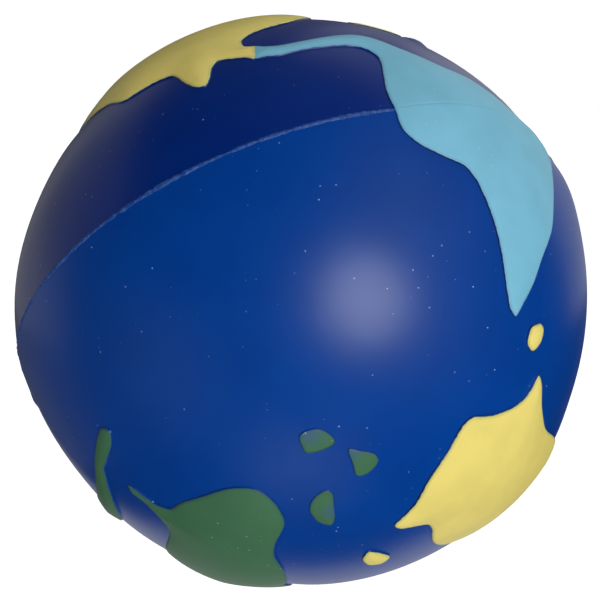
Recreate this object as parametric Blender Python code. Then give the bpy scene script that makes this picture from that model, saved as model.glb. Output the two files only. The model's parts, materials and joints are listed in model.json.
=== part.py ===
"""Globe stress ball: a foam ball moulded as a small Earth, lying on a table the way it came to rest.

Origin at the middle of the ball, +Z up. The ball was moulded in two halves, so it has a parting line,
and its map was set in the mould at an angle to that line. The half above the line rides on the empty
upper_half, which slides along the mould's axis, towards the lower half, when the ball is squeezed.
Everything else rides on lower_half.
"""

import math

import bmesh
import bpy
from mathutils import Euler, Matrix, Vector
from mathutils.geometry import delaunay_2d_cdt

MM = 0.001

# Driving dimensions: the ball over its raised lands, and how far they stand above the sea.
LAND_RADIUS = 35.0 * MM
RELIEF = 1.0 * MM
SKIN_THICKNESS = 1.5 * MM
FLASH_WIDTH = 0.5 * MM
GAP = 0.3 * MM

SEA_RADIUS = LAND_RADIUS - RELIEF
SKIN_INNER_RADIUS = SEA_RADIUS - SKIN_THICKNESS
CORE_RADIUS = SKIN_INNER_RADIUS - GAP
LAND_INNER_RADIUS = SEA_RADIUS + GAP

# How the ball lies: the mould's axis leans from +Z towards this heading, and the globe is turned
# from its own axes (north pole up, longitude 0 along +X) by these angles about X, Y and Z.
MOULD_LEAN = math.radians(49)
MOULD_HEADING = math.radians(116)
MOULD_TURN = Euler((0, MOULD_LEAN, MOULD_HEADING)).to_matrix()
GLOBE_TURN = Euler([math.radians(angle) for angle in (-68, -9, 44)]).to_matrix()

# Fineness of the meshes.
TURN_STEPS = 40
ARC_STEPS = 10
CORE_SUBDIVISIONS = 3
COAST_STEP = math.radians(2.6)
INNER_POINTS = 900
COAST_CLEARANCE = math.radians(3.2)

GOLDEN_ANGLE = math.pi * (3 - math.sqrt(5))
MERGE_DISTANCE = 0.01 * MM

# Linear colours: red, green, blue.
SEA_BLUE = (0.0, 0.035, 0.28)
YELLOW = (0.80, 0.70, 0.19)
LIGHT_BLUE = (0.18, 0.49, 0.66)
GREEN = (0.06, 0.16, 0.07)
FOAM_CREAM = (0.80, 0.74, 0.58)

# Coasts of the lands, as latitude and longitude in degrees, in order round each land. A smooth
# closed curve runs through the places, and a place given twice is a sharp corner.
LANDS = {
    "north_america": (YELLOW, [
        (8.3, -105.5), (8.3, -105.5), (11, -107.5), (13, -109.5), (12.3, -111.2), (10, -113.5),
        (9.2, -115), (10.5, -116), (14, -116), (18, -115.7), (20.5, -118), (22.5, -121.5),
        (24.5, -124.2), (30, -126), (37, -131), (44, -133), (51, -137), (57, -143), (56, -151),
        (60, -156), (66, -153), (71, -143), (71, -125), (69, -110), (71, -96), (66, -93),
        (59, -101), (53, -93), (51, -84), (56, -80), (62, -80), (66, -72), (62, -65), (54, -57),
        (47, -56), (43, -62), (40, -67), (32, -73), (26, -77), (21, -79), (18.5, -84),
        (16.5, -90), (16.5, -95), (16.5, -99), (15, -102.7), (12.7, -103.9), (11, -103.3),
        (11, -103.3)]),
    "south_america": (LIGHT_BLUE, [
        (7.8, -105.2), (7.8, -105.2), (5.5, -102.5), (3.8, -98), (2, -94), (0.5, -91), (-2, -89.5),
        (-5, -90), (-8, -92.5), (-12, -96), (-16, -98.2), (-19, -99.6), (-22.5, -98.7),
        (-26, -96), (-28.5, -93.6), (-31, -93.2), (-36.5, -94.2), (-42, -96.4), (-46.5, -99),
        (-50, -100.7), (-51.7, -100.2), (-50.8, -96), (-49, -90), (-46.5, -84.5), (-43, -76.5),
        (-38.5, -70.8), (-33, -64.5), (-28, -59.5), (-24.5, -61.5), (-21.5, -66), (-17, -69),
        (-12.5, -73.2), (-10, -77.5), (-6.8, -80.3), (-2.7, -83), (1, -84.6), (3.6, -87), (5, -92),
        (6, -96), (7.8, -100.5), (10.5, -103), (10.5, -103)]),
    "antarctica": (YELLOW, [
        (-64, -96.5), (-64.8, -100), (-65.6, -106), (-65, -113), (-62.5, -121.5), (-59.4, -127),
        (-59.2, -131), (-60.2, -140), (-60.5, -150), (-61, -160), (-59.6, -169.8),
        (-60.8, -171.5), (-64, -171), (-66, -171.3), (-67.6, -176), (-69, -188), (-71, -202),
        (-74, -220), (-75.5, -245), (-75, -275), (-75, -315), (-77, -350), (-79.5, -378),
        (-80.2, -410), (-79.2, -431), (-77.3, -444), (-74.5, -451.5), (-70, -455.5),
        (-66, -455.3)]),
    "australia": (GREEN, [
        (-16.3, 181), (-18.5, 180.5), (-21.5, 179.8), (-24, 180.5), (-26, 184), (-29, 188),
        (-32, 192), (-35.5, 194.2), (-38.5, 193.3), (-41, 190), (-42, 186.5), (-41.6, 181),
        (-41.6, 175), (-43.3, 166), (-43, 155), (-40.5, 147), (-40.5, 139), (-36, 133),
        (-28, 133), (-22, 139), (-18.5, 147), (-20, 155), (-21.5, 162), (-23.2, 168),
        (-23.9, 173), (-22.3, 176.4), (-19.5, 178.8), (-17, 179.6)]),
    "new_guinea": (GREEN, [
        (-9.7, 189.6), (-11.2, 190.5), (-12.1, 188), (-11.4, 183.5), (-10.9, 181), (-11.4, 177),
        (-12, 170), (-11.5, 163), (-9, 158), (-5, 157), (-4.5, 161), (-7, 168), (-8.5, 175),
        (-9, 183)]),
    "new_zealand_north_island": (GREEN, [
        (-38, 209.2), (-39.2, 207.2), (-40.3, 206.5), (-42, 208.5), (-42.8, 210.8),
        (-41.2, 211.8), (-39.3, 211.4)]),
    "new_zealand_south_island": (GREEN, [
        (-45.4, 210.6), (-47.2, 208), (-48.7, 205.6), (-50, 207), (-50.3, 210.6), (-49, 212),
        (-47, 211.2)]),
    "tasmania": (GREEN, [
        (-45.5, 199), (-44.6, 196), (-44.9, 193), (-47, 189.8), (-48.9, 189.3), (-48.9, 192),
        (-47.6, 196.5), (-46.7, 199)]),
    "subantarctic_island": (YELLOW, [
        (-56.6, 171), (-57.2, 175.8), (-59, 174), (-61.2, 168.5), (-60, 164.5), (-58, 165.5)]),
    "falkland_island": (YELLOW, [
        (-56, -91.5), (-55.4, -96), (-57, -98.8), (-58.8, -97.5), (-58.6, -93.5), (-57.2, -91)]),
    "cuba": (YELLOW, [
        (14, -76), (12.8, -72.5), (10, -70), (7, -68.5), (5.8, -70), (7.5, -72.8), (10.5, -75),
        (12.5, -77)]),
    "hispaniola": (SEA_BLUE, [
        (5.5, -69.5), (5, -66.5), (2.5, -65.8), (1.3, -67.2), (3, -69.5)]),
    "japan": (SEA_BLUE, [
        (15, 170), (18, 171.5), (22, 175), (26, 179), (31, 184), (33.5, 187.5), (34.5, 184),
        (30, 178.5), (25, 174), (20, 169.5), (16.5, 167.5)]),
    "greenland": (GREEN, [
        (57, -46), (63, -55), (70, -58), (75, -72), (80, -66), (82, -40), (77, -20), (70, -24),
        (64, -38)]),
    "iceland": (GREEN, [(61, -27), (62.5, -22.5), (61, -18), (59.3, -21), (59.3, -25.5)]),
    "great_britain": (YELLOW, [
        (46.2, -16), (47.5, -10), (51.5, -9.5), (54.5, -13), (52, -15.5), (49, -17)]),
    "europe": (YELLOW, [
        (31.5, -15.5), (33, -21), (38, -20.5), (39, -11.5), (43, -14), (46.5, -6), (52.5, 2),
        (54, -1), (59, -2), (64, 8), (68, 24), (66, 42), (62, 43), (66, 58), (66.5, 75),
        (66.5, 75), (58, 75.5), (50, 70), (44, 58), (39, 46), (39, 46), (41, 38), (41, 32),
        (37, 28.5), (32, 22), (37, 15.5), (40, 10), (36, 13.8), (33, 15), (35.5, 10), (39, 4),
        (36, -5), (32.5, -10)]),
    "asia": (LIGHT_BLUE, [
        (66.5, 76.6), (66.5, 76.6), (69, 88), (72, 105), (75, 122), (71, 140), (70, 160),
        (67, 180), (62, 197), (58, 196), (56, 188), (48, 187), (51, 183), (55, 178), (53, 171),
        (46, 171), (39, 167), (33, 164), (26, 162), (29, 158), (33, 155), (30, 151.5), (24, 153),
        (17, 148), (13, 141), (11, 136), (4, 138), (1, 134), (4, 130), (-1, 129.5), (-7, 131),
        (-4, 126.5), (3, 123), (9, 119), (14, 112), (8, 100), (0, 95.5), (8, 88), (15, 80),
        (17.5, 71), (21.5, 60), (18, 60), (16, 67), (9, 64), (5, 52), (13, 45), (22, 38.5),
        (26, 38), (30, 37.5), (30.5, 31), (34.5, 30.5), (36, 40), (37.2, 46.8), (37.2, 46.8),
        (43, 59.5), (49.2, 71.5), (57.5, 77.3)]),
    "africa": (GREEN, [
        (28, -16), (29, -5), (29, 6), (24, 16), (23.5, 28), (21.5, 33.5), (14, 39), (5, 45),
        (3, 57), (-6, 51), (-15, 43), (-23, 45), (-34, 35), (-41, 24), (-42, 17), (-30, 10),
        (-18, 9.5), (-8, 4), (-4, 4), (-4, -8), (-4, -19), (6, -30.5), (15, -29), (23, -22)]),
    "madagascar": (GREEN, [
        (-19.5, 56), (-23.5, 57.3), (-33, 53), (-33.5, 50), (-25.5, 49.5)]),
    "sri_lanka": (LIGHT_BLUE, [(-1, 101), (-3, 103), (-5.5, 102), (-4.5, 99.5), (-2.5, 99)]),
    "sumatra": (GREEN, [
        (-1, 115), (-4, 120), (-9, 126), (-14, 131.5), (-16, 130.5), (-12.5, 124.5), (-7, 118.5),
        (-3, 114)]),
    "java": (GREEN, [(-17, 133.5), (-16.5, 139), (-17.5, 144), (-19.5, 142.5), (-19, 136)]),
    "borneo": (GREEN, [
        (-1, 145), (-5.5, 148), (-11.5, 144.5), (-12, 139), (-8, 136), (-4.5, 138.5)]),
    "philippines": (GREEN, [(13, 148.5), (11, 151.5), (6, 152), (3.5, 150), (8, 147.5)]),
}


def clear_scene():
    for old in list(bpy.data.objects):
        bpy.data.objects.remove(old, do_unlink=True)


def add_empty(name):
    empty = bpy.data.objects.new(name, None)
    empty.empty_display_size = LAND_RADIUS
    bpy.context.collection.objects.link(empty)
    return empty


def make_material(name, colour, roughness):
    material = bpy.data.materials.new(name)
    material.use_nodes = True
    shader = material.node_tree.nodes["Principled BSDF"]
    shader.inputs["Base Color"].default_value = (*colour, 1.0)
    shader.inputs["Roughness"].default_value = roughness
    shader.inputs["Metallic"].default_value = 0.0
    material.diffuse_color = (*colour, 1.0)
    return material


def make_mesh(name, bm, sharp_angle=math.radians(40)):
    """Turn the bmesh into a mesh with its faces pointing out, shaded smooth between sharp edges."""
    bmesh.ops.recalc_face_normals(bm, faces=bm.faces)
    mesh = bpy.data.meshes.new(name)
    bm.to_mesh(mesh)
    bm.free()
    mesh.shade_smooth()
    mesh.set_sharp_from_angle(angle=sharp_angle)
    return mesh


def add_part(name, mesh, material, half, turn):
    if not mesh.materials:
        mesh.materials.append(material)
    part = bpy.data.objects.new(name, mesh)
    part.rotation_euler = turn.to_euler()
    part.parent = half
    bpy.context.collection.objects.link(part)
    return part


def spin_section(name, section, closed):
    """Turn a section in the XZ plane right round Z."""
    bm = bmesh.new()
    verts = [bm.verts.new(point) for point in section]
    edges = [bm.edges.new(pair) for pair in zip(verts, verts[1:])]
    if closed:
        edges.append(bm.edges.new((verts[-1], verts[0])))
    bmesh.ops.spin(bm, geom=verts + edges, cent=(0, 0, 0), axis=(0, 0, 1), angle=math.tau,
                   steps=TURN_STEPS, use_merge=True)
    bmesh.ops.remove_doubles(bm, verts=bm.verts, dist=MERGE_DISTANCE)
    return make_mesh(name, bm)


def meridian_arc(radius, rim_height):
    """Points from the pole down to the height of the rim, on a circle of this radius."""
    rim_angle = math.acos(rim_height / radius)
    angles = [rim_angle * step / ARC_STEPS for step in range(ARC_STEPS + 1)]
    return [Vector((radius * math.sin(angle), 0, radius * math.cos(angle))) for angle in angles]


def half_skin_mesh():
    """One half of the skin: a dome whose flat rim stops just short of the parting line's flash."""
    rim_height = FLASH_WIDTH / 2 + GAP
    outside = meridian_arc(SEA_RADIUS, rim_height)
    inside = meridian_arc(SKIN_INNER_RADIUS, rim_height)
    return spin_section("half_skin", outside + inside[::-1], closed=False)


def flash_mesh():
    """The thin ring of foam squeezed between the mould's two halves."""
    corners = [(SKIN_INNER_RADIUS, -1), (SEA_RADIUS, -1), (SEA_RADIUS, 1), (SKIN_INNER_RADIUS, 1)]
    section = [Vector((radius, 0, side * FLASH_WIDTH / 2)) for radius, side in corners]
    return spin_section("parting_line_flash", section, closed=True)


def core_mesh():
    bm = bmesh.new()
    bmesh.ops.create_icosphere(bm, subdivisions=CORE_SUBDIVISIONS, radius=CORE_RADIUS)
    return make_mesh("foam_core", bm)


def direction(latitude, longitude):
    """Unit vector to a place on the globe, with the north pole at +Z and longitude 0 at +X."""
    lat, lon = math.radians(latitude), math.radians(longitude)
    return Vector((math.cos(lat) * math.cos(lon), math.cos(lat) * math.sin(lon), math.sin(lat)))


def catmull_rom(before, start, end, after, t):
    return 0.5 * (2 * start + (end - before) * t + (2 * before - 5 * start + 4 * end - after) * t**2
                  + (3 * start - before - 3 * end + after) * t**3)


def coast_directions(places):
    """Unit vectors along the smooth closed curve through the places, COAST_STEP apart or less."""
    stops = [direction(*place) for place in places]
    coast = []
    for i, start in enumerate(stops):
        before, end, after = stops[i - 1], stops[(i + 1) % len(stops)], stops[(i + 2) % len(stops)]
        if start == end:
            continue
        steps = math.ceil(start.angle(end) / COAST_STEP)
        coast += [catmull_rom(before, start, end, after, k / steps).normalized()
                  for k in range(steps)]
    return coast


def spread_directions():
    """Unit vectors spread evenly over the whole sphere, along a golden spiral."""
    for i in range(INNER_POINTS):
        height = 1 - (2 * i + 1) / INNER_POINTS
        ring = math.sqrt(1 - height**2)
        yield Vector((ring * math.cos(i * GOLDEN_ANGLE), ring * math.sin(i * GOLDEN_ANGLE), height))


def flat_map(middle):
    """Stereographic map of the sphere onto the plane that touches it at middle."""
    across = middle.orthogonal().normalized()
    along = middle.cross(across)

    def place(point):
        return Vector((point.dot(across), point.dot(along))) / (1 + point.dot(middle))

    return place


def inside(point, outline):
    """Whether a point of the plane is inside the closed outline."""
    crossings = 0
    for a, b in zip(outline, outline[1:] + outline[:1]):
        if (a.y > point.y) != (b.y > point.y):
            crossings += point.x < a.x + (b.x - a.x) * (point.y - a.y) / (b.y - a.y)
    return crossings % 2 == 1


def land_mesh(name, coast):
    """A land: its outline filled with triangles on a sphere, then thickened outwards."""
    place = flat_map(sum(coast, Vector()).normalized())
    outline = [place(point) for point in coast]
    points = list(coast)
    for point in spread_directions():
        clearance = min(point.angle(other) for other in coast)
        if clearance > COAST_CLEARANCE and inside(place(point), outline):
            points.append(point)
    ring = [(i, (i + 1) % len(coast)) for i in range(len(coast))]
    _, _, triangles, sources, _, _ = delaunay_2d_cdt(
        [place(point) for point in points], ring, [], 1, 1e-7)

    bm = bmesh.new()
    verts = [bm.verts.new(points[source[0]] * LAND_INNER_RADIUS) for source in sources]
    for triangle in triangles:
        bm.faces.new([verts[i] for i in triangle])
    raised = bmesh.ops.extrude_face_region(bm, geom=bm.faces[:])["geom"]
    for vert in raised:
        if isinstance(vert, bmesh.types.BMVert):
            vert.co *= LAND_RADIUS / LAND_INNER_RADIUS
    return make_mesh(name, bm)


def build():
    clear_scene()
    halves = {"lower": add_empty("lower_half"), "upper": add_empty("upper_half")}
    blue_skin = make_material("blue_skin", SEA_BLUE, 0.42)
    paints = {
        SEA_BLUE: blue_skin,
        YELLOW: make_material("yellow_paint", YELLOW, 0.5),
        LIGHT_BLUE: make_material("light_blue_paint", LIGHT_BLUE, 0.5),
        GREEN: make_material("green_paint", GREEN, 0.5),
    }
    foam = make_material("cream_foam", FOAM_CREAM, 0.9)

    turned_over = MOULD_TURN @ Matrix.Rotation(math.pi, 3, "X")
    half_skin = half_skin_mesh()
    add_part("foam_core", core_mesh(), foam, halves["lower"], MOULD_TURN)
    add_part("upper_skin", half_skin, blue_skin, halves["upper"], MOULD_TURN)
    add_part("lower_skin", half_skin, blue_skin, halves["lower"], turned_over)
    add_part("parting_line_flash", flash_mesh(), blue_skin, halves["lower"], MOULD_TURN)

    mould_axis = MOULD_TURN @ Vector((0, 0, 1))
    for name, (colour, places) in LANDS.items():
        coast = coast_directions(places)
        middle = GLOBE_TURN @ sum(coast, Vector())
        half = halves["upper" if middle.dot(mould_axis) > 0 else "lower"]
        add_part(name, land_mesh(name, coast), paints[colour], half, GLOBE_TURN)


build()
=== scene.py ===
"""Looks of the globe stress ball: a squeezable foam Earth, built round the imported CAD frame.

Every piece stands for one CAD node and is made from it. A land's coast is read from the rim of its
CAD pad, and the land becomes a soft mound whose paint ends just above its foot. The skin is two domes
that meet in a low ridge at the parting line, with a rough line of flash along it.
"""

import json
import math

import bmesh
import bpy
import numpy as np
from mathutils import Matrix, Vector, noise
from mathutils.geometry import delaunay_2d_cdt


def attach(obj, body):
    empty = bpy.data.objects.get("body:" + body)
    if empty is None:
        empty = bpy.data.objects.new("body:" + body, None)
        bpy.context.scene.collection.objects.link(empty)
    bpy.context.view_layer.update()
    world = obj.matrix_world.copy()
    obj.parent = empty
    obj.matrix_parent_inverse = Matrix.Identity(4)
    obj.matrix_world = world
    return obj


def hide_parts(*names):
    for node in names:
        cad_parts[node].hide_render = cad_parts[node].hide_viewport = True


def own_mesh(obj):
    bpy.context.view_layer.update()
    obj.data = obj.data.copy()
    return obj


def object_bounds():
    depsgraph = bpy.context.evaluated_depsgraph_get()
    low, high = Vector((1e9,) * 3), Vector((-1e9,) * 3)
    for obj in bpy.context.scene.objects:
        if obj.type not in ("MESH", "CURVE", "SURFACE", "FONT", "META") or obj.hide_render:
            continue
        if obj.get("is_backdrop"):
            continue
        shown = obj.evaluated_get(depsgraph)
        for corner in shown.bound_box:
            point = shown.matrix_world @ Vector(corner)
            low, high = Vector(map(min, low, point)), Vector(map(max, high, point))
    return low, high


MM = 0.001

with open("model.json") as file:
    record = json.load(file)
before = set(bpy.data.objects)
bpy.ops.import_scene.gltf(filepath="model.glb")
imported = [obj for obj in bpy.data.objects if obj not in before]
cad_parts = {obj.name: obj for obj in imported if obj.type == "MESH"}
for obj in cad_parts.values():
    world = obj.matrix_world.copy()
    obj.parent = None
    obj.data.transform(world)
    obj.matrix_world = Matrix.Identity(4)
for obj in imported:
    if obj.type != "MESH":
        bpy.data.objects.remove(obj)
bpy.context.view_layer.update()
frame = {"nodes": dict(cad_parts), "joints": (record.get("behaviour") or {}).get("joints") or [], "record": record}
nodes = frame["nodes"]
squeeze = frame["joints"][0]
slots = {part["node"]: part["material_slot"] for part in frame["record"]["subparts"]}


def reach(node):
    """Distance from the ball's middle to the outermost point of a CAD node."""
    return max(vert.co.length for vert in nodes[node].data.vertices)


# Sizes taken from the frame. The mould's axis points from the lower half to the upper one.
SEA_RADIUS = reach("upper_skin")
LAND_RADIUS = reach("antarctica")
CORE_RADIUS = reach("foam_core")
RELIEF = LAND_RADIUS - SEA_RADIUS
MOULD_AXIS = -np.array(squeeze["axis"])
MOULD_AXIS /= np.linalg.norm(MOULD_AXIS)

# The skin: how thick it is, and how far its surface rises towards the parting line on either side.
SKIN_THICKNESS = 1.5 * MM
RIDGE_HEIGHT = 0.42 * MM
RIDGE_REACH = {"upper": 4.6 * MM, "lower": 5.2 * MM}
WAVE_HEIGHT = 0.05 * MM
WAVE_LENGTH = 14 * MM

# Broad swells and hollows of the moulded skin: azimuth and elevation of the middle in degrees, how
# far it spreads, and its height.
SKIN_SWELLS = [
    (-70, 9, 9 * MM, 0.48 * MM),
    (76, 29, 4.5 * MM, 0.36 * MM),
    (73, 20, 8 * MM, 0.20 * MM),
    (58, -18, 4 * MM, 0.35 * MM),
    (-53, -24, 6 * MM, -0.16 * MM),
    (78, 38, 3.5 * MM, -0.42 * MM),
    (-8, -48, 3.5 * MM, -0.18 * MM),
    (-79, 45, 3.5 * MM, -0.24 * MM),
    (0.3, 1.6, 1.6 * MM, 0.14 * MM),
    (9.9, -3.6, 1.3 * MM, 0.10 * MM),
    (5.5, -13.4, 1.8 * MM, 0.10 * MM),
]

# The lands: each is a low mound. It starts at its foot, just outside the coast, with a small steep
# step up to the coast, and then swells inland within a few millimetres. A fine groove runs along the
# foot, and beyond it the mound's edge dips under the skin.
FOOT_OUTSIDE = 0.12 * MM
FOOT_SOFTNESS = 0.02 * MM
STEP_SHARE = 0.18
STEP_WIDTH = 0.05 * MM
SWELL_WIDTH = 3.2 * MM
FOOT_DIP = 0.08 * MM
GROOVE_DEPTH = 0.03 * MM
GROOVE_WIDTH = 0.05 * MM
UNDERSIDE_RADIUS = SEA_RADIUS - 0.6 * MM

# Lands that stand lower or higher than the others, as shares of the CAD pads' height.
RELIEF_SHARES = {
    "north_america": 0.82,
    "south_america": 0.78,
    "cuba": 0.35,
    "hispaniola": 1.1,
    "japan": 0.9,
    "new_zealand_north_island": 0.6,
    "new_zealand_south_island": 0.6,
    "tasmania": 0.6,
}

# Where a land's paint gives way to bare blue, paler and greyer as a painted sheen of the slope: azimuth, elevation
# and how far round that point it reaches.
BARE_PAINT_AND_SHEEN = {
    "new_zealand_north_island": (0.9, 1.1, 0.9 * MM),
    "new_zealand_south_island": (7.2, -2.3, 0.6 * MM),
    "tasmania": (4.4, -13.2, 0.7 * MM),
}

# Lands that meet along a border: the neighbour, and how wide a fillet fills the corners where their
# joined mounds meet. Each mound runs on across the border for the overlap, under its neighbour.
BORDERS = {
    "north_america": ("south_america", 1.1 * MM),
    "south_america": ("north_america", 1.1 * MM),
    "europe": ("asia", 2.6 * MM),
    "asia": ("europe", 2.6 * MM),
}
BORDER_OVERLAP = 2 * MM

# The net of points on a land: rings that follow the coast at these distances outside it, an even
# spread inland, and rows along the parting line, which is a fine groove in the paint. A ring's point
# is left out where another stretch of coast is nearer to it.
WELD_DISTANCE = 0.005 * MM
COAST_STEP = 0.30 * MM
RING_OFFSETS = [offset * MM for offset in
                (-0.90, -0.60, -0.36, -0.20, -0.10, 0.04, 0.07, 0.10, 0.13, 0.17, 0.23, 0.32)]
RING_TOLERANCE = 0.15
EDGE_TRIM = 0.02 * MM
SPREAD_STEP = 0.55 * MM
LONGEST_EDGE = 2 * MM
SEAM_OFFSETS = [offset * MM for offset in (-0.40, -0.20, -0.09, -0.03, 0.03, 0.09, 0.20, 0.40)]
SEAM_INSET = 0.04 * MM
SEAM_STEP = 0.35 * MM
SEAM_DEPTH = 0.06 * MM
SEAM_WIDTH = 0.07 * MM
CRISP_ANGLE = math.radians(70)

# Each half of the skin: its rim stands off the parting line, and its rows widen towards the pole.
RIM_GAP = 0.01 * MM
FIRST_ROW = 0.10 * MM
LAST_ROW = 1.0 * MM
ROW_GROWTH = 1.12
SKIN_COLUMNS = 280

# The bead of flash between the halves. Its width and height vary within these shares of the mean.
FLASH_COLUMNS = 1500
FLASH_ROWS = 7
FLASH_HALF_WIDTH = 0.24 * MM
FLASH_HEIGHT = 0.06 * MM
FLASH_SINK = 0.03 * MM
FLASH_GRAIN = 0.5 * MM
FLASH_PATCH = 5 * MM
FLASH_WIDTH_SHARES = (0.35, 1.6)
FLASH_HEIGHT_SHARES = (0.2, 2)

# The foam core and the cells that pit its surface.
CORE_SUBDIVISIONS = 6
FOAM_CELL = 1.4 * MM
FOAM_CELL_DEPTH = 0.25 * MM


def unit_rows(rows):
    return rows / np.linalg.norm(rows, axis=1, keepdims=True)


def smooth_step(t):
    t = np.clip(t, 0, 1)
    return t * t * (3 - 2 * t)


def mould_arc(directions):
    """Distance along the surface from the parting line, positive in the upper half."""
    return np.arcsin(np.clip(directions @ MOULD_AXIS, -1, 1)) * SEA_RADIUS


def facing(azimuth, elevation):
    """Unit vector towards an azimuth round from -Y, positive towards +X, and a height above level."""
    across, up = math.radians(azimuth), math.radians(elevation)
    return np.array((math.sin(across) * math.cos(up), -math.cos(across) * math.cos(up), math.sin(up)))


def patch(directions, azimuth, elevation, spread):
    """How much each point belongs to a soft round patch, from 1 in its middle down to 0."""
    away = np.arccos(np.clip(directions @ facing(azimuth, elevation), -1, 1)) * SEA_RADIUS
    return np.exp(-((away / spread) ** 2))


def sea_radii(directions):
    """The skin's radius: a sphere with a low ridge at the parting line, swells and faint waves."""
    arc = mould_arc(directions)
    fall = np.where(arc > 0, RIDGE_REACH["upper"], RIDGE_REACH["lower"])
    ridge = RIDGE_HEIGHT * np.exp(-np.abs(arc) / fall)
    waves = np.array([noise.noise(Vector(d) * (SEA_RADIUS / WAVE_LENGTH)) for d in directions])
    radii = SEA_RADIUS + ridge + WAVE_HEIGHT * waves
    for azimuth, elevation, spread, height in SKIN_SWELLS:
        radii += height * patch(directions, azimuth, elevation, spread)
    return radii


def even_spread():
    """Unit vectors spread evenly over the whole sphere along a golden spiral."""
    count = int(4 * math.pi * (SEA_RADIUS / SPREAD_STEP) ** 2)
    place = np.arange(count)
    height = 1 - (2 * place + 1) / count
    ring = np.sqrt(1 - height**2)
    turn = place * math.pi * (3 - math.sqrt(5))
    return np.column_stack((ring * np.cos(turn), ring * np.sin(turn), height))


SPREAD = even_spread()


# ---------------------------------------------------------------- coasts

def cad_rim(node):
    """The rim of a CAD pad's top face as unit vectors, with the land on the left of the way round."""
    bm = bmesh.new()
    bm.from_mesh(nodes[node].data)
    bmesh.ops.remove_doubles(bm, verts=bm.verts, dist=WELD_DISTANCE)
    underside = [vert for vert in bm.verts if vert.co.length < LAND_RADIUS - RELIEF / 2]
    bmesh.ops.delete(bm, geom=underside, context="VERTS")
    first = next(loop for edge in bm.edges if edge.is_boundary for loop in edge.link_loops)
    rim, loop = [], first
    while not rim or loop != first:
        rim.append(loop.vert.co.normalized())
        loop = loop.link_loop_next
        while not loop.edge.is_boundary:
            loop = loop.link_loop_radial_next.link_loop_next
    bm.free()
    return rim


def catmull_rom(before, start, end, after, t):
    return 0.5 * (2 * start + (end - before) * t + (2 * before - 5 * start + 4 * end - after) * t**2
                  + (3 * start - before - 3 * end + after) * t**3)


def smooth_coast(rim):
    """A fine closed curve of unit vectors through the rim."""
    count = len(rim)
    coast = []
    for i, start in enumerate(rim):
        end, after = rim[(i + 1) % count], rim[(i + 2) % count]
        steps = math.ceil(start.angle(end) * SEA_RADIUS / COAST_STEP)
        coast += [catmull_rom(rim[i - 1], start, end, after, k / steps).normalized() for k in range(steps)]
    return np.array(coast)


class Coast:
    """A land's outline, with the flat map in which it is filled with triangles."""

    def __init__(self, node):
        self.line = smooth_coast(cad_rim(node))
        self.middle = self.line.mean(axis=0)
        self.middle /= np.linalg.norm(self.middle)
        across = np.array(Vector(self.middle).orthogonal().normalized())
        self.axes = np.column_stack((across, np.cross(self.middle, across)))
        self.flat_line = self.flat(self.line)

    def flat(self, directions):
        """Stereographic map onto the plane that touches the sphere at the land's middle."""
        return (directions @ self.axes) / (1 + directions @ self.middle)[:, None]

    def offset(self, distance):
        """The coast moved outwards along the sphere."""
        along = np.roll(self.line, -1, axis=0) - np.roll(self.line, 1, axis=0)
        outward = unit_rows(np.cross(along, self.line))
        return unit_rows(self.line + outward * (distance / SEA_RADIUS))

    def inside(self, directions):
        """Whether each point is on the land: an odd number of coast lines lies to one side of it."""
        ax, ay = self.flat_line.T
        bx, by = np.roll(self.flat_line, -1, axis=0).T
        result = np.zeros(len(directions), bool)
        for k, (x, y) in enumerate(self.flat(directions)):
            spans = (ay > y) != (by > y)
            cuts = ax[spans] + (bx[spans] - ax[spans]) * (y - ay[spans]) / (by[spans] - ay[spans])
            result[k] = np.count_nonzero(x < cuts) % 2
        return result

    def distance(self, directions):
        """Distance along the sphere to the coast, negative on the land."""
        edge = np.roll(self.line, -1, axis=0) - self.line
        length = (edge**2).sum(axis=1)
        nearest = np.empty(len(directions))
        for k, point in enumerate(directions):
            gap = point - self.line
            share = np.clip((gap * edge).sum(axis=1) / length, 0, 1)
            nearest[k] = ((gap - edge * share[:, None]) ** 2).sum(axis=1).min()
        return np.sqrt(nearest) * SEA_RADIUS * np.where(self.inside(directions), -1, 1)


class Shore:
    """A land's coast, joined to its neighbour's where the two meet along a border."""

    def __init__(self, node):
        self.coast = Coast(node)
        self.neighbour = None
        if node in BORDERS:
            neighbour, self.fillet = BORDERS[node]
            self.neighbour = Coast(neighbour)

    def gaps(self, directions):
        """Distance to the joined lands' coast, and distance beyond the border; negative on the land."""
        own = self.coast.distance(directions)
        if self.neighbour is None:
            return own, np.full(len(own), -SEA_RADIUS)
        other = self.neighbour.distance(directions)
        blend = np.clip(1 - np.abs(own - other) / self.fillet, 0, 1)
        return np.minimum(own, other) - self.fillet / 4 * blend**2, (own - other) / 2


# ---------------------------------------------------------------- meshes

def placed(name, data):
    """An object in the scene that shows this mesh, light or camera."""
    made = bpy.data.objects.new(name, data)
    bpy.context.collection.objects.link(made)
    return made


def closed_shell(name, directions, radii, faces, inner_radius, coast=None, rubbed=None):
    """A closed piece: an outer surface, the same faces on an inner sphere, and walls round the edge.

    It stores how far each point is from the coast and from the parting line, in millimetres, and
    how far its paint gives way to bare blue with a painted sheen.
    """
    count = len(directions)
    edges = {(a, b) for face in faces for a, b in zip(face, face[1:] + face[:1])}
    walls = [(b, a, a + count, b + count) for a, b in sorted(edges) if (b, a) not in edges]
    underside = [tuple(i + count for i in reversed(face)) for face in faces]
    points = np.vstack((directions * radii[:, None], directions * inner_radius))
    mesh = bpy.data.meshes.new(name)
    mesh.from_pydata(points.tolist(), [], faces + underside + walls)
    stored = {"seam": mould_arc(directions) / MM}
    if coast is not None:
        stored.update(coast=coast / MM, rubbed=rubbed)
    for label, values in stored.items():
        attribute = mesh.attributes.new(label, "FLOAT", "POINT")
        attribute.data.foreach_set("value", np.tile(values, 2))
    mesh.shade_smooth()
    mesh.set_sharp_from_angle(angle=CRISP_ANGLE)
    return placed(name, mesh)


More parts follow.
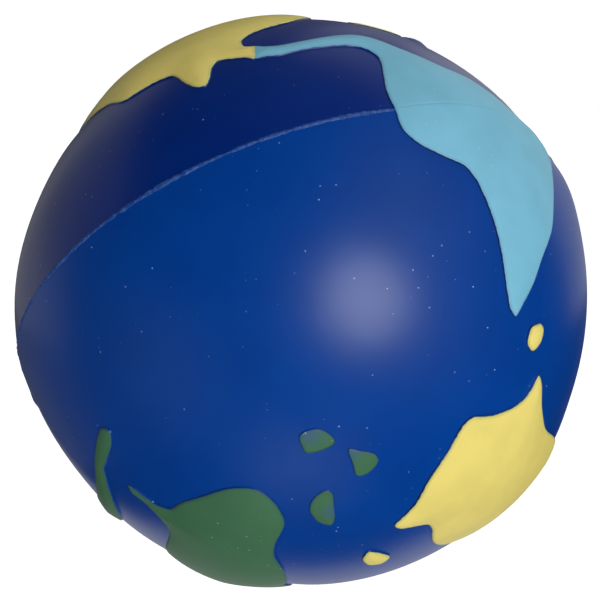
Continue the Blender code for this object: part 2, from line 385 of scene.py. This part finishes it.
def land_points(shore, crosses_seam):
    """Points that follow the coast in rings, then spread over the land and across its border."""
    coast = shore.coast
    rings = []
    for offset in RING_OFFSETS:
        ring = coast.offset(offset)
        kept = np.abs(coast.distance(ring) - offset) < RING_TOLERANCE * abs(offset)
        rings.append(ring[kept])
    extent = np.arccos((coast.line @ coast.middle).min())
    nearby = SPREAD[SPREAD @ coast.middle > math.cos(extent)]
    own = coast.distance(nearby)
    joined, _ = shore.gaps(nearby)
    across_border = (own > RING_OFFSETS[-1] + SPREAD_STEP / 4) & (own < BORDER_OVERLAP) & (joined < 0)
    keep = (own < RING_OFFSETS[0] - SPREAD_STEP / 4) | across_border
    if crosses_seam:
        keep &= np.abs(mould_arc(nearby)) > SEAM_OFFSETS[-1] + SPREAD_STEP / 2
        rings.append(seam_points(coast))
    return np.vstack([coast.line, *rings, nearby[keep]])


def seam_points(coast):
    """Rows of points on the land along both sides of the parting line."""
    side = np.cross(MOULD_AXIS, coast.middle)
    side /= np.linalg.norm(side)
    ahead = np.cross(side, MOULD_AXIS)
    turns = np.arange(-math.pi, math.pi, SEAM_STEP / SEA_RADIUS)[:, None]
    circle = np.cos(turns) * ahead + np.sin(turns) * side
    rows = np.vstack([unit_rows(circle + MOULD_AXIS * (offset / SEA_RADIUS)) for offset in SEAM_OFFSETS])
    return rows[coast.distance(rows) < -SEAM_INSET]


def mound_radii(node, directions, gap, beyond_border, crosses_seam):
    """A land's surface: a mound that rises from its foot. Only painted lands have a step and groove."""
    relief = RELIEF * RELIEF_SHARES.get(node, 1.0)
    painted = slots[node] != "blue_skin"
    step_share, groove_depth = (STEP_SHARE, GROOVE_DEPTH) if painted else (0, 0)
    rise = FOOT_SOFTNESS * np.logaddexp(0, (FOOT_OUTSIDE - gap) / FOOT_SOFTNESS)
    step = step_share * (1 - np.exp(-rise / STEP_WIDTH))
    mound = relief * (step + (1 - step_share) * (1 - np.exp(-rise / SWELL_WIDTH)))
    groove = groove_depth * np.exp(-(((gap - FOOT_OUTSIDE) / GROOVE_WIDTH) ** 2))
    outside = np.maximum(gap - FOOT_OUTSIDE, beyond_border)
    dip = FOOT_DIP * smooth_step(outside / (FOOT_DIP + 2 * FOOT_SOFTNESS))
    radii = sea_radii(directions) + mound - groove - dip
    if crosses_seam:
        radii -= SEAM_DEPTH * np.exp(-((mould_arc(directions) / SEAM_WIDTH) ** 2))
    return radii


def longest_edge(corners):
    """The longest side of a triangle on the sphere."""
    return np.linalg.norm(corners - np.roll(corners, 1, axis=0), axis=1).max() * SEA_RADIUS


def land_piece(node):
    """A land made from its CAD pad. Triangles outside the land or across its bays are left out."""
    shore = Shore(node)
    coast = shore.coast
    arc = mould_arc(coast.line)
    crosses_seam = arc.min() < 0 < arc.max()
    points = land_points(shore, crosses_seam)
    count = len(coast.line)
    ring = [(i, (i + 1) % count) for i in range(count)]
    flat_points = [Vector(place) for place in coast.flat(points)]
    _, _, triangles, sources, _, _ = delaunay_2d_cdt(flat_points, ring, [], 0, 1e-8)
    directions = points[[source[0] for source in sources]]
    gap, beyond_border = shore.gaps(directions)
    outside = np.maximum(gap, beyond_border) - RING_OFFSETS[-1] - EDGE_TRIM
    shown = [tuple(face) for face in triangles
             if outside[face].max() < 0 and longest_edge(directions[face]) < LONGEST_EDGE]
    used = sorted({i for face in shown for i in face})
    place = {old: new for new, old in enumerate(used)}
    faces = [tuple(place[i] for i in face) for face in shown]
    directions, gap, beyond_border = directions[used], gap[used], beyond_border[used]
    radii = mound_radii(node, directions, gap, beyond_border, crosses_seam)
    # Where the paint gives way to bare blue with a painted sheen.
    rubbed = patch(directions, *BARE_PAINT_AND_SHEEN[node]) if node in BARE_PAINT_AND_SHEEN else np.zeros(len(radii))
    return closed_shell(node + "_relief", directions, radii, faces, UNDERSIDE_RADIUS, gap, rubbed)


def ring_grid(rows, columns, wrap_pole=False):
    """Faces of a grid whose rows close round the ball, seen from outside, rows going up."""
    faces = []
    for row in range(rows - 1):
        for column in range(columns):
            following = (column + 1) % columns
            faces.append((row * columns + column, row * columns + following,
                          (row + 1) * columns + following, (row + 1) * columns + column))
    if wrap_pole:
        last, pole = (rows - 1) * columns, rows * columns
        faces += [(last + column, last + (column + 1) % columns, pole) for column in range(columns)]
    return faces


def rings_round(axis, arcs, columns):
    """Unit vectors in rows round an axis, at these distances up from its equator."""
    axis = Vector(axis)
    across = axis.orthogonal().normalized()
    along = axis.cross(across)
    turns = np.arange(columns) * (math.tau / columns)
    circle = np.outer(np.cos(turns), across) + np.outer(np.sin(turns), along)
    rise = np.array(arcs) / SEA_RADIUS
    return np.vstack([math.cos(a) * circle + math.sin(a) * np.array(axis) for a in rise])


def half_skin(name, side):
    """One half of the skin, from its rim at the parting line up to its pole."""
    axis = MOULD_AXIS * side
    quarter = SEA_RADIUS * math.pi / 2
    arcs, step = [RIM_GAP], FIRST_ROW
    while arcs[-1] + step < quarter - LAST_ROW:
        arcs.append(arcs[-1] + step)
        step = min(step * ROW_GROWTH, LAST_ROW)
    directions = np.vstack((rings_round(axis, arcs, SKIN_COLUMNS), axis[None]))
    faces = ring_grid(len(arcs), SKIN_COLUMNS, wrap_pole=True)
    radii = sea_radii(directions)
    return closed_shell(name, directions, radii, faces, SEA_RADIUS - SKIN_THICKNESS)


def flash_ring():
    """The rough bead of foam along the parting line, of uneven width and height."""
    turns = rings_round(MOULD_AXIS, [0], FLASH_COLUMNS)
    rough = np.array([noise.fractal(Vector(d) * (SEA_RADIUS / FLASH_GRAIN), 0.6, 2.1, 3) for d in turns])
    patchy = np.array([noise.noise(Vector(d) * (SEA_RADIUS / FLASH_PATCH)) for d in turns])
    half_width = FLASH_HALF_WIDTH * np.clip(1 + 0.5 * rough + 0.4 * patchy, *FLASH_WIDTH_SHARES)
    height = FLASH_HEIGHT * np.clip(1 + 0.9 * rough, *FLASH_HEIGHT_SHARES)
    rows, radii = [], []
    for across in np.linspace(-1, 1, FLASH_ROWS):
        row = unit_rows(turns + MOULD_AXIS * (across * half_width / SEA_RADIUS)[:, None])
        rows.append(row)
        radii.append(sea_radii(row) + height * (1 - across**2) - FLASH_SINK * across**2)
    faces = ring_grid(FLASH_ROWS, FLASH_COLUMNS)
    inner = SEA_RADIUS - SKIN_THICKNESS
    return closed_shell("flash_bead", np.vstack(rows), np.concatenate(radii), faces, inner)


def foam_core():
    """The soft inside: a closed ball whose surface shows the foam's cells."""
    bm = bmesh.new()
    bmesh.ops.create_icosphere(bm, subdivisions=CORE_SUBDIVISIONS, radius=1)
    for vert in bm.verts:
        cell = noise.voronoi(vert.co * (CORE_RADIUS / FOAM_CELL))[0][0]
        vert.co *= CORE_RADIUS - FOAM_CELL_DEPTH * max(0, 1 - 2 * cell)
    mesh = bpy.data.meshes.new("foam_core_cells")
    bm.to_mesh(mesh)
    bm.free()
    mesh.shade_smooth()
    return placed("foam_core_cells", mesh)


# ---------------------------------------------------------------- materials

def colour(red, green, blue):
    return (red, green, blue, 1.0)


# The blue foam, and darker blues for its upper half that are painted shade. Shine is the specular level.
SEA_DEEP = colour(0.0, 0.045, 0.284)
SEA_BRIGHT = colour(0.0, 0.050, 0.304)
# Painted shade: the upper half of the skin is coloured a darker blue.
SHADED_UPPER_SEA_DEEP = colour(0.0, 0.020, 0.186)
SHADED_UPPER_SEA_BRIGHT = colour(0.0, 0.023, 0.200)
BLUE_SHINE = 0.35
BLUE_ROUGHNESS = (0.29, 0.33)
MOTTLE_SIZE = 5 * MM
GRAIN_SIZE = 0.16 * MM
GRAIN_HEIGHT = 0.012 * MM
RIPPLE_SIZE = 2.2 * MM
RIPPLE_HEIGHT = 0.03 * MM

# Dust: how far apart its cells are, the radius of a speck, and the share of cells that hold one.
COARSE_DUST = (1.3 * MM, 0.09 * MM, 0.45)
FINE_DUST = (0.8 * MM, 0.05 * MM, 0.30)
DUST = colour(0.62, 0.70, 0.80)
DUST_COVER = 0.55

# The paints: material name, colour, colour where it is thin, and strength of the dark coast line, which is partly
# painted shade.
PAINTS = {
    "yellow_paint": ("yellow_on_foam", colour(0.90, 0.755, 0.205), colour(0.60, 0.60, 0.18), 0.8),
    "light_blue_paint": ("light_blue_on_foam", colour(0.208, 0.545, 0.725), colour(0.17, 0.42, 0.60), 0.8),
    "green_paint": ("green_on_foam", colour(0.058, 0.172, 0.085), colour(0.045, 0.135, 0.095), 0.25),
}
# Partly the dark gap at the paint's edge, partly painted shade of the step at the coast.
DARK_GAP_AND_SHADE = colour(0.004, 0.012, 0.060)
# Bare blue where the paint is missing, paler and greyer as a painted sheen of the slope.
BARE_BLUE_AND_SHEEN = colour(0.055, 0.125, 0.230)
PAINT_SHINE = 0.25
PAINT_DULLNESS = 0.15
PAINT_SHADE = 0.93
PAINT_PATCH = 3.2 * MM
BARE_SHEEN_PATCH = 0.5 * MM

# Where the paint ends, in millimetres: it runs this far past the coast, less a ragged part, and
# blends into the foam from the first to the second of these distances.
PAINT_PAST_COAST = 0.11
PAINT_RAGGED = 0.12
PAINT_BLEND = (0.03, -0.03)
THIN_PAINT_WIDTH = 0.35
RAGGED_SIZE = 0.45 * MM

# The dark line along the paint, partly the dark gap where the paint ends and partly painted shade of the step at
# the coast, and the pale one at the parting line, in millimetres: each fades from nothing to its full strength
# between these distances from its middle.
COAST_LINE_MIDDLE = 0.04
COAST_LINE_FADE = (0.06, 0.02)
COAST_LINE_BREAKS = 6 * MM
SEAM_LINE_FADE = (0.07, 0.02)
SEAM_LINE_STRENGTH = 0.55
SEAM_BLEND = (-0.05, 0.05)

# The flash, and the soft foam inside.
FLASH_BLUE = colour(0.004, 0.050, 0.28)
FLASH_PALE = colour(0.05, 0.135, 0.38)
FLASH_ROUGHNESS = 0.6
FOAM_CREAM = colour(0.80, 0.74, 0.58)
# Painted shade inside the foam's pores.
FOAM_SHADE = colour(0.55, 0.48, 0.34)
FOAM_ROUGHNESS = 0.92


class Tree:
    """A material's node tree, with short ways to add nodes and join them."""

    def __init__(self, name):
        self.material = bpy.data.materials.new(name)
        self.material.use_nodes = True
        self.tree = self.material.node_tree
        self.shader = self.tree.nodes["Principled BSDF"]
        self.place = self.node("ShaderNodeTexCoord").outputs["Object"]

    def node(self, kind, inputs=(), **settings):
        made = self.tree.nodes.new(kind)
        for key, value in settings.items():
            setattr(made, key, value)
        for key, value in dict(inputs).items():
            self.give(made.inputs[key], value)
        return made

    def give(self, socket, value):
        if isinstance(value, bpy.types.NodeSocket):
            self.tree.links.new(value, socket)
        else:
            socket.default_value = value

    def math(self, operation, a, b=0.0):
        return self.node("ShaderNodeMath", {0: a, 1: b}, operation=operation).outputs[0]

    def noise(self, size, detail=2.0, roughness=0.5):
        inputs = {"Vector": self.place, "Scale": 1 / size, "Detail": detail, "Roughness": roughness}
        return self.node("ShaderNodeTexNoise", inputs).outputs["Fac"]

    def ramp(self, value, low, high, start=0.0, end=1.0):
        """value mapped smoothly so that low gives start and high gives end."""
        inputs = {"Value": value, "From Min": low, "From Max": high, "To Min": start, "To Max": end}
        made = self.node("ShaderNodeMapRange", inputs, interpolation_type="SMOOTHSTEP")
        return made.outputs["Result"]

    def mix(self, share, a, b):
        made = self.node("ShaderNodeMix", data_type="RGBA")
        for key, value in ((0, share), (6, a), (7, b)):
            self.give(made.inputs[key], value)
        return made.outputs[2]

    def attribute(self, name):
        return self.node("ShaderNodeAttribute", attribute_name=name).outputs["Fac"]

    def bump(self, height, distance, strength, below=None):
        inputs = {"Height": height, "Distance": distance, "Strength": strength}
        if below is not None:
            inputs["Normal"] = below
        return self.node("ShaderNodeBump", inputs).outputs["Normal"]


def specks(tree, spacing, radius, share):
    """A mask of small round dots: one in some of the cells of an uneven grid."""
    inputs = {"Vector": tree.place, "Scale": 1 / spacing}
    cells = tree.node("ShaderNodeTexVoronoi", inputs, feature="F1")
    dot = tree.ramp(cells.outputs["Distance"], radius / spacing, 0.6 * radius / spacing)
    pick = tree.node("ShaderNodeSeparateColor", {"Color": cells.outputs["Color"]}).outputs["Red"]
    return tree.math("MULTIPLY", dot, tree.math("LESS_THAN", pick, share))


def sea_colour(tree):
    """The blue foam, a little mottled, with painted shade that darkens the upper half of the mould."""
    mottle = tree.ramp(tree.noise(MOTTLE_SIZE, 3.0), 0.3, 0.7)
    # Painted shade: the upper half of the mould takes the darker blues.
    in_shaded_upper_half = tree.ramp(tree.attribute("seam"), *SEAM_BLEND)
    lower = tree.mix(mottle, SEA_DEEP, SEA_BRIGHT)
    upper = tree.mix(mottle, SHADED_UPPER_SEA_DEEP, SHADED_UPPER_SEA_BRIGHT)
    return tree.mix(in_shaded_upper_half, lower, upper)


def paint_edge(tree):
    """Distance in millimetres to the ragged edge of the paint, negative where there is paint."""
    ragged = tree.math("MULTIPLY", tree.noise(RAGGED_SIZE, 3.0, 0.65), PAINT_RAGGED)
    return tree.math("ADD", tree.attribute("coast"), tree.math("SUBTRACT", ragged, PAINT_PAST_COAST))


def paint_coat(tree, edge, paint, thin_paint):
    """The paint's colour: uneven, thinner towards its edge, and giving way in places to bare blue with a painted
    sheen.
    """
    patchy = tree.ramp(tree.noise(PAINT_PATCH, 2.0), 0.25, 0.75)
    coat = tree.mix(patchy, tuple(PAINT_SHADE * c for c in paint[:3]) + (1.0,), paint)
    coat = tree.mix(tree.ramp(edge, 0.0, -THIN_PAINT_WIDTH), thin_paint, coat)
    # Patches of bare blue with painted sheen where the paint is missing.
    patchy_bare_and_sheen = tree.ramp(tree.noise(BARE_SHEEN_PATCH, 3.0), 0.3, 0.6, 0.6, 0.95)
    return tree.mix(tree.math("MULTIPLY", tree.attribute("rubbed"), patchy_bare_and_sheen), coat, BARE_BLUE_AND_SHEEN)


def with_gap_and_shade_line(tree, base, edge, strength):
    """A broken dark line along the edge of the paint: partly the dark gap where the paint ends, partly painted
    shade of the step at the coast.
    """
    off_line = tree.math("ABSOLUTE", tree.math("SUBTRACT", edge, COAST_LINE_MIDDLE))
    line = tree.ramp(off_line, *COAST_LINE_FADE)
    broken = tree.ramp(tree.noise(COAST_LINE_BREAKS, 2.0), 0.35, 0.60, 0.1, strength)
    return tree.mix(tree.math("MULTIPLY", line, broken), base, DARK_GAP_AND_SHADE)


def with_seam_line(tree, base, thin_paint):
    """The thin paint in the groove where the parting line crosses a land."""
    seam = tree.ramp(tree.math("ABSOLUTE", tree.attribute("seam")), *SEAM_LINE_FADE)
    return tree.mix(tree.math("MULTIPLY", seam, SEAM_LINE_STRENGTH), base, thin_paint)


def with_dust(tree, base):
    """Pale specks of two sizes, scattered over foam and paint alike."""
    dusty = tree.math("MAXIMUM", specks(tree, *COARSE_DUST), specks(tree, *FINE_DUST))
    return tree.mix(tree.math("MULTIPLY", dusty, DUST_COVER), base, DUST)


def foam_finish(name, paint=None, thin_paint=None, line_strength=0.0):
    """Satin moulded foam, blue all through its skin, and painted on its land side of the coast."""
    tree = Tree(name)
    base = sea_colour(tree)
    grain = tree.noise(GRAIN_SIZE, 2.0)
    shine = BLUE_SHINE
    roughness = tree.ramp(grain, 0.25, 0.75, *BLUE_ROUGHNESS)
    if paint is not None:
        edge = paint_edge(tree)
        base = tree.mix(tree.ramp(edge, *PAINT_BLEND), base, paint_coat(tree, edge, paint, thin_paint))
        shine = tree.ramp(edge, *PAINT_BLEND, BLUE_SHINE, PAINT_SHINE)
        roughness = tree.math("ADD", roughness, tree.ramp(edge, *PAINT_BLEND, 0.0, PAINT_DULLNESS))
        # The dark coast line is partly painted shade.
        base = with_gap_and_shade_line(tree, base, edge, line_strength)
        base = with_seam_line(tree, base, thin_paint)
    tree.give(tree.shader.inputs["Base Color"], with_dust(tree, base))
    tree.give(tree.shader.inputs["Specular IOR Level"], shine)
    tree.give(tree.shader.inputs["Roughness"], roughness)
    ripples = tree.bump(tree.noise(RIPPLE_SIZE, 2.0), RIPPLE_HEIGHT, 0.35)
    tree.give(tree.shader.inputs["Normal"], tree.bump(grain, GRAIN_HEIGHT, 0.2, ripples))
    return tree.material


def flash_finish():
    """The torn bead at the parting line: rough and a little paler where the blue is worn."""
    tree = Tree("rubbed_flash")
    worn = tree.ramp(tree.noise(0.35 * MM, 3.0, 0.7), 0.42, 0.68)
    tree.give(tree.shader.inputs["Base Color"], tree.mix(worn, FLASH_BLUE, FLASH_PALE))
    tree.give(tree.shader.inputs["Roughness"], FLASH_ROUGHNESS)
    tree.give(tree.shader.inputs["Normal"], tree.bump(tree.noise(0.12 * MM, 2.0), 0.03 * MM, 0.6))
    return tree.material


def core_finish():
    """Open cream foam, with painted shade in its pores."""
    tree = Tree("open_foam")
    pores = tree.ramp(tree.noise(0.8 * MM, 3.0), 0.35, 0.6)
    tree.give(tree.shader.inputs["Base Color"], tree.mix(pores, FOAM_SHADE, FOAM_CREAM))
    tree.give(tree.shader.inputs["Roughness"], FOAM_ROUGHNESS)
    tree.give(tree.shader.inputs["Normal"], tree.bump(tree.noise(0.3 * MM, 3.0), 0.1 * MM, 0.6))
    return tree.material


# ---------------------------------------------------------------- pieces

finishes = {slot: foam_finish(*paint) for slot, paint in PAINTS.items()}
finishes["blue_skin"] = foam_finish("satin_blue_foam")
finishes["cream_foam"] = core_finish()
whole_pieces = {
    "upper_skin": lambda: half_skin("upper_dome", 1),
    "lower_skin": lambda: half_skin("lower_dome", -1),
    "parting_line_flash": flash_ring,
    "foam_core": foam_core,
}

for body, members in frame["record"]["behaviour"]["bodies"].items():
    for node in members:
        piece = whole_pieces[node]() if node in whole_pieces else land_piece(node)
        finish = flash_finish() if node == "parting_line_flash" else finishes[slots[node]]
        piece.data.materials.append(finish)
        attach(piece, body)
        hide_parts(node)
        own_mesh(piece)


# ---------------------------------------------------------------- studio

# The camera: the ball's radius in the frame, and how far off the frame's middle it stands, as shares
# of the frame's width.
CAMERA_ELEVATION = math.radians(20)
CAMERA_DISTANCE = 2.7 * SEA_RADIUS
BALL_RADIUS_SHARE = 0.4717
BALL_SHIFT_RIGHT = 0.0053
BALL_SHIFT_DOWN = 0.0037

# The white floor and the wall round it, and the light of the room.
COVE_RADIUS = 0.9
COVE_BEND = 0.4
COVE_HEIGHT = 2.0
COVE_BEND_ROWS = 13
COVE_COLUMNS = 96
SHEET_WHITE = colour(0.92, 0.92, 0.92)
SHEET_ROUGHNESS = 0.9
ROOM_LIGHT = 0.01

# The lights: name, azimuth and elevation in degrees, size in metres and energy in watts. The key
# light both fills and shines. The others do one or the other.
LIGHT_DISTANCE = 0.6
KEY_LIGHT = ("key_softbox", 23, 19, 0.30, 1.80)
FILL_LIGHTS = [
    ("floor_bounce", 0, -40, 0.3, 1.12),
    ("left_fill", -50, -10, 0.4, 0.52),
    ("right_fill", 45, 3, 0.4, 0.43),
    ("high_right_fill", 60, 45, 0.4, 0.98),
    ("high_back_fill", 180, 60, 0.4, 0.44),
    ("back_fill", 180, -5, 0.5, 2.4),
]
SHEEN_LIGHTS = [
    ("backdrop_sheen", 180, 5, 1.2, 0.38),
    ("back_floor_sheen", 180, -52, 0.7, 0.95),
    ("left_sheen", -120, 10, 0.6, 0.28),
    ("low_left_sheen", -110, -20, 0.5, 0.10),
    ("right_sheen", 138, 8, 0.5, 0.34),
    ("high_right_sheen", 150, 38, 0.5, 0.22),
]


def soft_light(name, azimuth, elevation, size, energy, fills=True, shines=True, shape="SQUARE"):
    """A flat light aimed at the ball, which may only fill it or only shine in its satin skin."""
    light = bpy.data.lights.new(name, "AREA")
    light.shape = shape
    light.size = size
    light.energy = energy
    direction = Vector(facing(azimuth, elevation))
    lamp = placed(name, light)
    lamp.location = direction * LIGHT_DISTANCE
    lamp.rotation_euler = direction.to_track_quat("Z", "Y").to_euler()
    lamp.visible_diffuse = fills
    lamp.visible_glossy = shines


def sweep_sheet():
    """A round white floor under the ball that curves up into a wall all round it.

    It only fills the picture: the room and the fill lights stand for the light it would throw.
    """
    bend = [(COVE_RADIUS + COVE_BEND * math.sin(turn), COVE_BEND * (1 - math.cos(turn)))
            for turn in np.linspace(0, math.pi / 2, COVE_BEND_ROWS)]
    section = [*bend, (COVE_RADIUS + COVE_BEND, COVE_HEIGHT)]
    turns = [k * math.tau / COVE_COLUMNS for k in range(COVE_COLUMNS)]
    points = [(out * math.cos(turn), out * math.sin(turn), up) for out, up in section for turn in turns]
    walls = ring_grid(len(section), COVE_COLUMNS)
    floor = tuple(range(COVE_COLUMNS))
    mesh = bpy.data.meshes.new("sweep_sheet")
    mesh.from_pydata(points, [], [floor, *walls])
    mesh.shade_smooth()
    floor_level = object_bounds()[0].z
    sheet = placed("sweep_sheet", mesh)
    sheet.location.z = floor_level
    sheet.visible_diffuse = False
    sheet.visible_glossy = False
    sheet.visible_shadow = False
    tree = Tree("white_sweep")
    tree.give(tree.shader.inputs["Base Color"], SHEET_WHITE)
    tree.give(tree.shader.inputs["Roughness"], SHEET_ROUGHNESS)
    tree.give(tree.shader.inputs["Emission Color"], colour(1, 1, 1))
    tree.give(tree.shader.inputs["Emission Strength"], 1.0)
    mesh.materials.append(tree.material)
    sheet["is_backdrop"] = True


def add_camera():
    data = bpy.data.cameras.new("camera")
    camera = placed("camera", data)
    camera.location = Vector((0, -math.cos(CAMERA_ELEVATION), math.sin(CAMERA_ELEVATION))) * CAMERA_DISTANCE
    camera.rotation_euler = (math.pi / 2 - CAMERA_ELEVATION, 0, 0)
    focal_share = BALL_RADIUS_SHARE * math.sqrt((CAMERA_DISTANCE / SEA_RADIUS) ** 2 - 1)
    data.lens = data.sensor_width * focal_share
    data.shift_x = -BALL_SHIFT_RIGHT
    data.shift_y = BALL_SHIFT_DOWN
    data.clip_start = 0.005
    bpy.context.scene.camera = camera


def add_world():
    world = bpy.data.worlds.new("white_room")
    world.use_nodes = True
    background = world.node_tree.nodes["Background"]
    background.inputs["Color"].default_value = colour(1, 1, 1)
    background.inputs["Strength"].default_value = ROOM_LIGHT
    bpy.context.scene.world = world


sweep_sheet()
add_camera()
add_world()
for light in FILL_LIGHTS:
    soft_light(*light, shines=False)
for light in SHEEN_LIGHTS:
    soft_light(*light, fills=False)
soft_light(*KEY_LIGHT, shape="DISK")
bpy.context.scene.view_settings.view_transform = "Standard"
